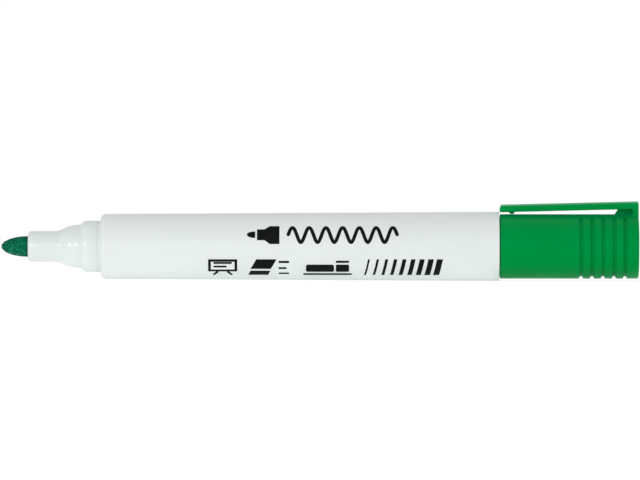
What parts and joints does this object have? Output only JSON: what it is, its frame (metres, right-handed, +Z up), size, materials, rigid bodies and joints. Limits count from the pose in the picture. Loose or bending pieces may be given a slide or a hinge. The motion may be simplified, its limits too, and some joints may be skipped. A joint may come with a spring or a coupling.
{
  "type": "whiteboard marker",
  "caption": "Bullet-tip whiteboard marker with a stepped nose, a tapered barrel and a push-on cap with a springy pocket clip, posted on its rear end.",
  "frame": {"origin": "bottom centre of the whole marker's box, on the surface that the marker lies on", "axes": "+X along the marker from the nib to the cap's closed end, +Z up through the pocket clip, +Y across the marker"},
  "size_m": [0.145, 0.0158, 0.0181],
  "materials": {
    "white_plastic": "satin white moulding",
    "nose_plastic": "smooth, slightly glossy off-white moulding",
    "green_plastic": "semi-gloss green moulding",
    "liner_plastic": "soft white moulding",
    "inked_felt": "dense felt soaked in green ink",
    "inked_fibre": "bundled fibre soaked in green ink",
    "clear_film": "thin clear film"
  },
  "bodies": {
    "marker": {"barrel": "white_plastic", "nib_holder": "nose_plastic", "bullet_nib": "inked_felt", "ink_reservoir": "inked_fibre", "reservoir_film": "clear_film", "end_plug": "green_plastic"},
    "cap_core": {"cap_liner": "liner_plastic"},
    "cap": {"cap_shell": "green_plastic"},
    "clip": {"pocket_clip": "green_plastic"}
  },
  "joints": [
    {"name": "cap_slide", "type": "slide", "parent": "marker", "child": "cap_core", "axis": [1, 0, 0], "range_m": [0, 0.035]},
    {"name": "cap_twist", "type": "hinge", "parent": "cap_core", "child": "cap", "pos_m": [0.04092, 0, 0.00786], "axis": [1, 0, 0], "continuous": true},
    {"name": "clip_flex", "type": "hinge", "parent": "cap", "child": "clip", "pos_m": [0.06777, 0, 0.01714], "axis": [0, 1, 0], "range_deg": [0, 5], "stiffness_Nm_per_rad": 0.8}
  ]
}
